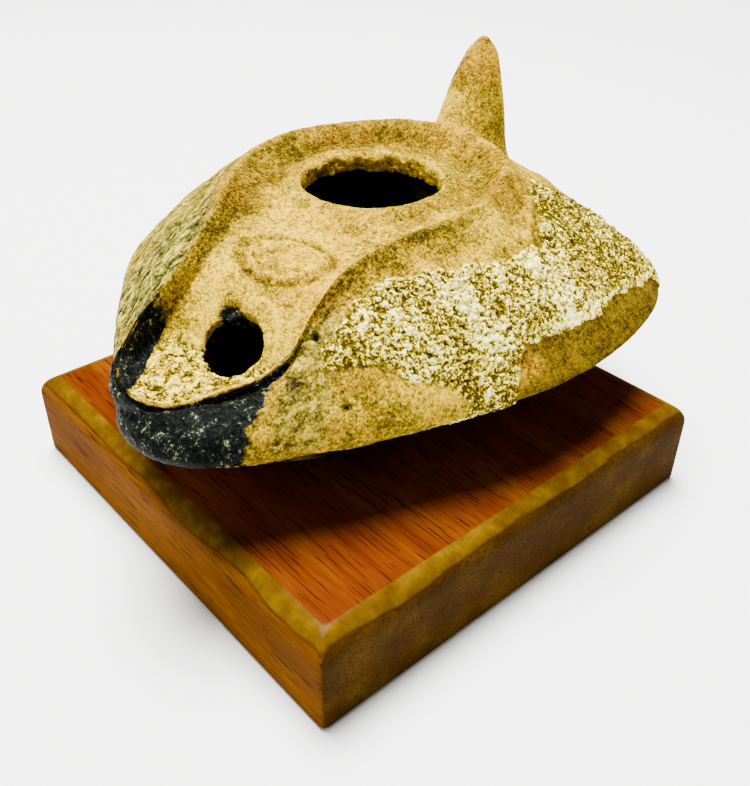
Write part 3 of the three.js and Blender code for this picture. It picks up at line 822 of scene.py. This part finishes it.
share["soot_and_shade"] = np.clip(soot_and_shade - 0.7 * rim_edge, 0, 1) * ~is_cone
share["soot_and_shade"] = np.where(inside & (y < -24), 1, share["soot_and_shade"])

share["crust"] = with_cone(crust)
share["grit"] = with_cone(grit)
share["bare"] = bare_share(points_all) * ~is_cone
share["deposit"] = with_cone(pan)

# Iron stain: handle tip, back of the ring, left crest of the ridge, spots on the channel
RUST_SPOTS = [((-12.9, -36, 28.4), (0.7, 4.0, 1.0), 0.75), ((1.8, -32.7, 27.5), (1.6, 0.9, 2), 0.8),
              ((36.2, -17.5, 17.0), (2.2, 3.4, 2.6), 0.9), ((-5.2, -29.5, 28.8), (2.4, 1.2, 1.5), 0.5)]
rust = ramp(z, 35, 42) * is_cone
rust = rust + sum(much * around(points_all, spot, size) for spot, size, much in RUST_SPOTS)
rust = rust + 0.5 * ramp(reach, 17, 20) * ramp(y, -2, 12) * (down < 0.1) * ~is_cone
share["rust"] = np.clip(rust, 0, 1)

# Grey weathering on the left shoulder, darkest near the nozzle
grey = between(turned, 60, 110, 158, 170) * ramp(down, -0.02, 0.1)
grey = grey * (0.5 + 0.6 * np.exp(-(((turned - 149) / 12) ** 2)))
# A thinner veil of it lies to the right of the nozzle
grey = grey + 0.5 * between(turned, 193, 196, 201, 206) * ramp(down, 0.06, 0.2) * ramp(z, 12, 15)
share["grey"] = np.clip(grey, 0, 1) * ~is_cone * ~inside

# Tone: how far a place stands proud of what is round it
grid_height = height.reshape(skin.shape[:2])
blurred = grid_height.copy()
for _ in range(8):
    before, after = np.roll(blurred, 1, 1), np.roll(blurred, -1, 1)
    inner = np.concatenate([blurred[:1], blurred[:-1]])
    outer = np.concatenate([blurred[1:], blurred[-1:]])
    blurred = (blurred + before + after + inner + outer) / 5
proud = with_cone((grid_height - blurred).ravel())

# Tone: darker in hollows, lighter on what is rubbed, with painted shade at the foot and along the slopes of
# the ridge, in the oval groove, in the trough and low down, and painted light on the channel, the ring's
# crest, the hole's wall and the handle
from_ridge = reach - ridge
from_middle = np.hypot(x / OVAL["long"], (y - OVAL["y"]) / OVAL["short"])
# Painted shade: the inner slope and foot of the left ridge are darkened
left_foot_shade = between(from_ridge, -7.5, -3.5, -1.2, 0.2) * (x < -4) * between(y, -36, -28, 3, 12)
# Painted shade: a darker band along the slopes of the right ridge towards the nozzle
right_crest_shade = between(from_ridge, -3.2, -1.0, 2.8, 5.4) * between(y, -46, -40, -12, -4) * (x > 0)
# Painted shade: the groove round the medallion is darkened, more towards the right and the front
oval_groove_shade = np.exp(-(((from_middle - 1.03) / 0.12) ** 2)) * (down < 0)
oval_groove_shade = oval_groove_shade * mix(0.3, 1, ramp(x - y, 14, 32))
# Painted light: the channel floor is made lighter, as where the top light falls
channel_light = ramp(y, -9, -14) * (down < 0.0) * ramp(np.abs(x - 1), 13, 8) * (y > -50)
pale_flank = (down > 0.1) * between(turned, 192, 198, 214, 232) * (z > 13)
veil = between(turned, 215, 226, 240, 243) * ramp(down, 0.72, 0.84) * (z > 12)
rubbed = between(down, 0.03, 0.08, 0.22, 0.32) * between(turned, 216, 224, 258, 272)
on_pad = ramp(from_middle, 1.0, 0.8) * (down < 0)
pad_wear = 1 + 1.2 * layered_noise(points_all, 2.2, 2, 0.6, seed=103)
# Painted highlight along the crest of the ring behind the filling hole
ring_crest_highlight = np.exp(-(((from_ridge + 0.3) / 0.8) ** 2)) * ramp(y, -14, -6) * ~is_cone
# Painted shade: the sunken trough round the filling hole is darkened
trough = np.exp(-(((reach - 17.5) / 2.2) ** 2)) * ramp(y, -8, 4) * ~is_cone
tone = 0.5 + 0.2 * channel_light + 0.05 * pale_flank + 0.3 * veil + 0.2 * rubbed
tone = tone - 0.2 * left_foot_shade - 0.24 * right_crest_shade - 0.1 * on_pad * pad_wear
# Painted light: the filling hole's wall, which lies in shade, is made lighter
tone = tone + 0.22 * hole_wall + 0.08 * ring_crest_highlight - 0.15 * trough
tone = tone - 0.2 * oval_groove_shade + 0.3 * rim_edge
tone = tone + np.clip(0.9 * proud, -0.2, 0.15) + 0.25 * np.clip(height_all, -0.5, 0.3)
# Handle: lighter overall, with painted light on its lower left and painted shade down its right side
tone = tone + is_cone * (0.17 + 0.14 * ramp(z, 38, 33) * ramp(x, 3, -3) - 0.16 * ramp(x, 2, 6))
# Painted shade: the body darkens towards its underside
tone = tone - 0.14 * ramp(z, 12, 6) * ~is_cone
share["tone"] = np.clip(tone, 0, 1)
# Painted shade: near black inside the vessel and down the lower wall of the filling hole
share["inside"] = (inside | (hole_wall & (z < LIP_Z - 3.4))).astype(float)

tree = KDTree(len(points_all))
moved_all = np.concatenate([moved.reshape(-1, 3), cone_moved[:cone.shape[0]].reshape(-1, 3)])
for k, point in enumerate(moved_all * MM):
    tree.insert(point, k)
tree.balance()
found = [tree.find(v.co) for v in lamp.data.vertices]
nearest = np.array([hit[1] for hit in found])
# What lies far from every point of the skin is mostly the wall of the wick hole. It is sooty
# all the way in, and the few places inside the vessel that this also blackens are not seen.
far = ramp(np.array([hit[2] for hit in found]) / MM, 0.5, 1.8)
for name, values in share.items():
    layer = lamp.data.attributes.new(name, "FLOAT", "POINT")
    on_lamp = values[nearest]
    if name == "soot_and_shade":
        on_lamp = np.maximum(on_lamp, far)
    layer.data.foreach_set("value", on_lamp.astype(np.float32))
for name, values in share.items():
    print("share of %s on the lamp: %.0f%%" % (name, 100 * values[nearest].mean()))

for polygon in lamp.data.polygons:
    polygon.use_smooth = True
placing = Matrix.Translation([v * MM for v in LAMP_AT]) @ Matrix.Rotation(LAMP_TURN, 4, "Z")
lamp.data.transform(placing)
lamp.name = "terracotta_lamp"
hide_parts("lamp")
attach(lamp, "root")

# %% [markdown]
# ## The wooden base
#
# The base is a square block of varnished wood with its top edges rounded over. The round-over
# shows as an olive-gold band between the darker top and walls.

# %% Base mesh
base_low, base_high = (np.array(corner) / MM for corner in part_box("wooden_base"))
SIDE = base_high[0] - base_low[0]
BASE_TOP = base_high[2]
ROUND = 3.6
ARRIS = 0.6


def base_mesh():
    """A square block from rings: under face, walls, rounded top edge and top face."""
    half = SIDE / 2
    rows = [(half - 20, 0), (half - ARRIS, 0), (half - ARRIS * 0.3, ARRIS * 0.3), (half, ARRIS)]
    wall = np.linspace(ARRIS, BASE_TOP - ROUND, 24)[1:]
    rows += [(half, h) for h in wall]
    for a in np.linspace(0, math.pi / 2, 15)[1:]:
        rows.append((half - ROUND + ROUND * math.cos(a), BASE_TOP - ROUND + ROUND * math.sin(a)))
    rows += [(half - ROUND - d, BASE_TOP) for d in (0.5, 1.5, 4, 10, 20, 30)]
    corner_steps, edge_steps = 6, 130
    grid = []
    for out, up in rows:
        soft = min(0.9, out / 4)
        row = []
        for side, ahead in enumerate([(0, 1), (-1, 0), (0, -1), (1, 0)]):
            quarter = side * math.pi / 2
            corner_x = math.copysign(out - soft, math.cos(quarter - math.pi / 4))
            corner_y = math.copysign(out - soft, math.sin(quarter - math.pi / 4))
            for a in np.linspace(0, math.pi / 2, corner_steps + 1):
                angle = quarter - math.pi / 2 + a
                row.append((corner_x + soft * math.cos(angle), corner_y + soft * math.sin(angle), up))
            start = row[-1]
            for t in np.linspace(0, 1, edge_steps)[1:-1]:
                run = 2 * (out - soft) * t
                row.append((start[0] + ahead[0] * run, start[1] + ahead[1] * run, up))
        grid.append(row)
    return np.array(grid)


block = base_mesh()
block_flat = block.reshape(-1, 3).astype(np.float32)
wobble = 0.05 * layered_noise(block_flat, 12, 2, 0.5, seed=111)
block_out = skin_normals(block)
# The wobble only goes inwards, and leaves the underside flat
inward = np.minimum(wobble, 0) * (block_flat[:, 2] > 0.8)
block = block - block_out * inward.reshape(block.shape[:2])[..., None]
base = ring_mesh("wooden_block", block)
if volume_of(base) < 0:
    base.data.flip_normals()
for polygon in base.data.polygons:
    polygon.use_smooth = True
print("base: %d faces, %.1f cm3" % (len(base.data.polygons), volume_of(base)))
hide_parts("wooden_base")
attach(base, "root")

# %% [markdown]
# ## Finishes
#
# Each finish is a node material. Colours are written as the eye reads them, as sRGB hex, and
# turned to linear light by one function. One small function adds a node and links it.

# %% Helpers for the finishes


def colour(code):
    parts = [int(code[k:k + 2], 16) / 255 for k in (1, 3, 5)]
    return [p / 12.92 if p <= 0.04045 else ((p + 0.055) / 1.055) ** 2.4 for p in parts] + [1]


def put(tree, kind, inputs=None, stops=None, **settings):
    """Add a node, set its settings, fill or link its inputs by name or number, and give back
    its first output, or the node itself where it has none."""
    node = tree.nodes.new("ShaderNode" + kind)
    for name, value in settings.items():
        setattr(node, name, value)
    if stops:
        elements = node.color_ramp.elements
        while len(elements) < len(stops):
            elements.new(0.5)
        for element, (place, tone) in zip(elements, stops):
            element.position, element.color = place, colour(tone)
    for key, value in (inputs or {}).items():
        named = [s for s in node.inputs if s.enabled and s.name == key]
        socket = node.inputs[key] if isinstance(key, int) else named[0]
        if isinstance(value, bpy.types.NodeSocket):
            tree.links.new(value, socket)
        else:
            socket.default_value = value
    return next((s for s in node.outputs if s.enabled), node)


def new_material(name):
    material = bpy.data.materials.new(name)
    material.use_nodes = True
    material.node_tree.nodes.clear()
    return material, material.node_tree


def per_mm(size):
    """Noise scale for a pattern whose features are about `size` millimetres."""
    return 1 / (size * MM)


# %% [markdown]
# ### Buff clay
#
# Low-fired buff clay is matt and dusty, so its roughness is high, and its IOR is that of fired
# clay, about 1.5, with next to no shine. The body wanders over about a centimetre between buff
# and iron ochre, is mottled at two millimetres, and grained at three quarters and a third of a
# millimetre. The patches follow, each in its own colours. Blender's usual view greys strong
# colours in bright light, so these are yellower and deeper than the clay looks.

# %% Clay material
clay, clay_tree = new_material("buff clay, limed and sooted")
where = put(clay_tree, "TexCoord").node.outputs["Object"]
along_lamp = put(clay_tree, "Mapping", {
    "Vector": where, "Rotation": (0, 0, -LAMP_TURN), "Scale": (1, 0.3, 0.7)})
# Name of a noise, what it is laid on, size in millimetres, layers and roughness
kinds = [("blotch", where, 13, 3, 0.5), ("wander", where, 7, 4, 0.6), ("mottle", where, 2.4, 4, 0.65),
         ("speck", where, 0.75, 3, 0.6), ("fine", where, 0.36, 2, 0.6), ("edge", where, 1.1, 4, 0.7),
         ("streak", along_lamp, 1.0, 4, 0.65)]
noises = {}
for name, laid_on, size, detail, roughness in kinds:
    noises[name] = put(clay_tree, "TexNoise", {
        "Vector": laid_on, "Scale": per_mm(size), "Detail": float(detail), "Roughness": roughness})
    noises[name] = put(clay_tree, "Math", {0: noises[name], 1: 0.5}, operation="SUBTRACT")


def shade(start, *parts):
    """A sum of noises, each with its weight, on top of a value."""
    for name, weight in parts:
        start = put(clay_tree, "Math", {0: noises[name], 1: weight, 2: start}, operation="MULTIPLY_ADD")
    return start


share_of = {name: put(clay_tree, "Attribute", attribute_name=name).node.outputs["Fac"] for name in share}
clay_tone = shade(share_of["tone"], ("wander", 0.85), ("mottle", 0.8), ("speck", 1.15), ("fine", 1.4))
streaky_tone = shade(share_of["tone"], ("mottle", 0.6), ("streak", 2.2), ("speck", 0.8), ("fine", 1.0))
lime_tone = shade(share_of["grit"], ("wander", 1.0), ("mottle", 0.9), ("speck", 1.9), ("fine", 2.2))
soot_tone = shade(0.44, ("mottle", 1.1), ("speck", 1.3), ("streak", 0.5), ("fine", 1.2))

# Clay first, then each patch over it: share, how sharp its edge is, its shade and its colours
clay_colours = [(0.04, "#291e01"), (0.22, "#463802"), (0.4, "#655203"),
                (0.54, "#856c03"), (0.7, "#a68603"), (0.92, "#d7af03")]
ochre_colours = [(0.06, "#291b01"), (0.4, "#634802"), (0.7, "#9b7403"), (0.92, "#c59903")]
patches = [
    ("grey", 0.2, 0.65, streaky_tone,
     [(0.2, "#161503"), (0.42, "#423f14"), (0.6, "#716521"), (0.85, "#b5a030")]),
    ("deposit", 0.3, 0.7, lime_tone,
     [(0.12, "#271d01"), (0.34, "#695202"), (0.58, "#a28907"), (0.88, "#e7d445")]),
    ("crust", 0.3, 0.6, lime_tone,
     [(0.12, "#352901"), (0.32, "#655202"), (0.5, "#a6900d"), (0.66, "#e5d44b"), (0.88, "#fcf5a6")]),
    ("bare", 0.35, 0.55, clay_tone, [(0.12, "#1f1501"), (0.42, "#453502"), (0.75, "#675102")]),
    ("rust", 0.25, 0.75, clay_tone,
     [(0.1, "#2b1c01"), (0.4, "#614301"), (0.62, "#845f01"), (0.9, "#b58901")]),
    # Soot colours, laid also over the painted shadow under the nozzle's rim
    ("soot_and_shade", 0.3, 0.6, soot_tone,
     [(0.2, "#020303"), (0.5, "#0b0e0b"), (0.7, "#1d2219"), (0.92, "#818565")]),
    # Painted shade, near black, inside the vessel and deep in the filling hole
    ("inside", 0.4, 0.6, clay_tone, [(0.2, "#020100"), (0.8, "#0b0702")]),
]
body = put(clay_tree, "ValToRGB", {"Fac": clay_tone}, stops=clay_colours)
ochre = put(clay_tree, "ValToRGB", {"Fac": clay_tone}, stops=ochre_colours)
warm_noise = shade(0.0, ("blotch", 1.0), ("mottle", 0.35))
warm = put(clay_tree, "MapRange", {"Value": warm_noise, "From Min": -0.02, "From Max": 0.2})
body = put(clay_tree, "Mix", {"Factor": warm, "A": body, "B": ochre}, data_type="RGBA")
covers = {}
for name, starts, full, lightness, colours in patches:
    ragged_share = shade(share_of[name], ("edge", 0.9), ("speck", 0.5))
    covers[name] = put(clay_tree, "MapRange", {"Value": ragged_share, "From Min": starts, "From Max": full})
    # Where a share is nothing at all the noise must not raise it
    present = put(clay_tree, "MapRange", {"Value": share_of[name], "From Min": 0.0, "From Max": 0.12})
    covers[name] = put(clay_tree, "Math", {0: covers[name], 1: present}, operation="MULTIPLY")
    tint = put(clay_tree, "ValToRGB", {"Fac": lightness}, stops=colours)
    body = put(clay_tree, "Mix", {"Factor": covers[name], "A": body, "B": tint}, data_type="RGBA")

roughness = put(clay_tree, "MapRange", {"Value": covers["soot_and_shade"], "To Min": 0.85, "To Max": 0.5})
bump = put(clay_tree, "Bump", {"Height": noises["speck"], "Strength": 0.6, "Distance": 0.35 * MM})
bump = put(clay_tree, "Bump", {
    "Height": noises["fine"], "Strength": 0.8, "Distance": 0.2 * MM, "Normal": bump})
shader = put(clay_tree, "BsdfPrincipled", {
    "Base Color": body, "Roughness": roughness, "IOR": 1.5, "Specular IOR Level": 0.02, "Normal": bump})
put(clay_tree, "OutputMaterial", {"Surface": shader})
lamp.data.materials.clear()
lamp.data.materials.append(clay)

# %% [markdown]
# ### Varnished hardwood
#
# The block is a close-grained wood, red-brown and varnished. The wood's layers run through the
# block, so the grain is a solid pattern: long along X, half a millimetre across, with pores of
# a third. The round-over is golden.

# %% Wood material
wood, wood_tree = new_material("stained and varnished hardwood")
spot = put(wood_tree, "TexCoord").node.outputs["Object"]
along_grain = put(wood_tree, "Mapping", {"Vector": spot, "Scale": (0.05, 1, 1)})
along_broad = put(wood_tree, "Mapping", {"Vector": spot, "Scale": (0.2, 1, 1)})
grain = put(wood_tree, "TexNoise", {
    "Vector": along_grain, "Scale": per_mm(0.5), "Detail": 3.0, "Roughness": 0.6})
pores = put(wood_tree, "TexNoise", {"Vector": along_grain, "Scale": per_mm(0.3), "Detail": 1.0})
broad = put(wood_tree, "TexNoise", {
    "Vector": along_broad, "Scale": per_mm(6), "Detail": 4.0, "Roughness": 0.55})
cloud = put(wood_tree, "TexNoise", {"Vector": spot, "Scale": per_mm(3), "Detail": 4.0, "Roughness": 0.6})
mixed = put(wood_tree, "Math", {0: grain, 1: 0.6, 2: broad}, operation="MULTIPLY_ADD")

# The top is redder than the walls, and the end grain is the darkest
normal_up = put(wood_tree, "NewGeometry").node.outputs["Normal"]
parts_up = put(wood_tree, "SeparateXYZ", {"Vector": normal_up}).node
up = parts_up.outputs["Z"]
top_tint = put(wood_tree, "ValToRGB", {"Fac": mixed}, stops=[
    (0.5, "#431702"), (0.74, "#4e1f03"), (0.9, "#552703"), (1.0, "#5b2f03")])
long_tint = put(wood_tree, "ValToRGB", {"Fac": mixed}, stops=[
    (0.5, "#432302"), (0.76, "#552f02"), (0.95, "#613803")])
end_tint = put(wood_tree, "ValToRGB", {"Fac": mixed}, stops=[
    (0.5, "#2b1901"), (0.78, "#352102"), (0.98, "#432d03")])
facing_x = put(wood_tree, "Math", {0: parts_up.outputs["X"]}, operation="ABSOLUTE")
to_end = put(wood_tree, "MapRange", {"Value": facing_x, "From Min": 0.6, "From Max": 0.8})
walls = put(wood_tree, "Mix", {"Factor": to_end, "A": long_tint, "B": end_tint}, data_type="RGBA")
on_top = put(wood_tree, "MapRange", {"Value": up, "From Min": 0.9, "From Max": 0.98})
stained = put(wood_tree, "Mix", {"Factor": on_top, "A": walls, "B": top_tint}, data_type="RGBA")
pore = put(wood_tree, "MapRange", {"Value": pores, "From Min": 0.58, "From Max": 0.66, "To Max": 0.75})
stained = put(wood_tree, "Mix", {"Factor": pore, "A": stained, "B": colour("#1c0a02")}, data_type="RGBA")

# Gold varnish on the round-over, between a straight upper edge and a wavy lower one
gold = put(wood_tree, "ValToRGB", {"Fac": cloud}, stops=[
    (0.3, "#3e2702"), (0.5, "#4c3402"), (0.7, "#5d4403")])
wave = put(wood_tree, "TexNoise", {"Vector": spot, "Scale": per_mm(14), "Detail": 2.0, "Roughness": 0.4})
low_edge = put(wood_tree, "Math", {0: wave, 1: 0.7, 2: up}, operation="MULTIPLY_ADD")
low_share = put(wood_tree, "MapRange", {"Value": low_edge, "From Min": 0.93, "From Max": 0.97})
high_share = put(wood_tree, "MapRange", {"Value": up, "From Min": 0.996, "From Max": 0.986})
banded = put(wood_tree, "Math", {0: low_share, 1: high_share}, operation="MULTIPLY")
wood_colour = put(wood_tree, "Mix", {"Factor": banded, "A": stained, "B": gold}, data_type="RGBA")
rim_line = put(wood_tree, "MapRange", {"Value": low_edge, "From Min": 0.86, "From Max": 0.93})
rim_below = put(wood_tree, "MapRange", {"Value": low_edge, "From Min": 1.03, "From Max": 0.96})
rim_dark = put(wood_tree, "Math", {0: rim_line, 1: rim_below}, operation="MULTIPLY")
rim_dark = put(wood_tree, "Math", {0: rim_dark, 1: 0.55}, operation="MULTIPLY")
wood_colour = put(wood_tree, "Mix", {"Factor": rim_dark, "A": wood_colour, "B": colour("#2a1804")},
                  data_type="RGBA")
wood_bump = put(wood_tree, "Bump", {"Height": grain, "Strength": 0.25, "Distance": 0.08 * MM})
wood_shader = put(wood_tree, "BsdfPrincipled", {
    "Base Color": wood_colour, "Roughness": 0.45, "IOR": 1.5, "Specular IOR Level": 0.0,
    "Normal": wood_bump, "Coat Weight": 0.025, "Coat Roughness": 0.2})
put(wood_tree, "OutputMaterial", {"Surface": wood_shader})
base.data.materials.clear()
base.data.materials.append(wood)

# %% [markdown]
# ## Floor, light and camera
#
# A plain pale floor, a broad soft light overhead and a weak one from the front on the left.
# The camera stands where it sees the object as in the photograph.

# %% Stage
floor_mesh = bpy.data.meshes.new("floor")
FLOOR_HALF = 3.0
floor_corners = [(a * FLOOR_HALF, b * FLOOR_HALF, 0) for a, b in ((-1, -1), (1, -1), (1, 1), (-1, 1))]
floor_mesh.from_pydata(floor_corners, [], [(0, 1, 2, 3)])
floor = bpy.data.objects.new("floor", floor_mesh)
bpy.context.scene.collection.objects.link(floor)
paper, paper_tree = new_material("pale paper")
paper_shader = put(paper_tree, "BsdfPrincipled", {"Base Color": colour("#f4f4f2"), "Roughness": 0.7})
put(paper_tree, "OutputMaterial", {"Surface": paper_shader})
floor_mesh.materials.append(paper)


def look(thing, target):
    """Turn a light, where it stands, towards a point."""
    away = np.array(target) - np.array(thing.location)
    thing.rotation_euler = Vector(away).to_track_quat("-Z", "Y").to_euler()


def soft_light(name, at, target, size, watts, tone="#ffffff"):
    data = bpy.data.lights.new(name, "AREA")
    data.shape, data.size, data.energy = "DISK", size, watts
    data.color = colour(tone)[:3]
    thing = bpy.data.objects.new(name, data)
    thing.location = at
    bpy.context.scene.collection.objects.link(thing)
    look(thing, target)
    return thing


soft_light("ceiling light", (-0.18, 0.06, 0.85), (0, 0, 0.03), 0.5, 50.0)
soft_light("front fill", (-0.3, -0.95, 0.45), (0, 0, 0.03), 0.6, 4.0)
world = bpy.data.worlds.new("pale room")
world.use_nodes = True
world.node_tree.nodes["Background"].inputs["Color"].default_value = colour("#ffffff")
world.node_tree.nodes["Background"].inputs["Strength"].default_value = 0.32
bpy.context.scene.world = world

# %% Camera
CAMERA_AT = (98.8, -83.8, 106.06)
CAMERA_HEADING = math.radians(138.37)
CAMERA_DOWN = math.radians(35.06)
CAMERA_ROLL = 0.0116
FOCAL_PIXELS, IMAGE_LONG_SIDE, SENSOR = 917.35, 786, 36.0
forward = np.array([math.cos(CAMERA_HEADING) * math.cos(CAMERA_DOWN),
                    math.sin(CAMERA_HEADING) * math.cos(CAMERA_DOWN), -math.sin(CAMERA_DOWN)])
right = np.cross(forward, [0, 0, 1])
right /= np.linalg.norm(right)
upward = np.cross(right, forward)
rolled_right = right * math.cos(CAMERA_ROLL) + upward * math.sin(CAMERA_ROLL)
rolled_up = upward * math.cos(CAMERA_ROLL) - right * math.sin(CAMERA_ROLL)
camera_data = bpy.data.cameras.new("camera")
camera_data.lens = FOCAL_PIXELS * SENSOR / IMAGE_LONG_SIDE
camera_data.sensor_width = SENSOR
camera = bpy.data.objects.new("camera", camera_data)
axes = Matrix([[rolled_right[k], rolled_up[k], -forward[k]] for k in range(3)]).to_4x4()
camera.matrix_world = Matrix.Translation([v * MM for v in CAMERA_AT]) @ axes
bpy.context.scene.collection.objects.link(camera)
bpy.context.scene.camera = camera
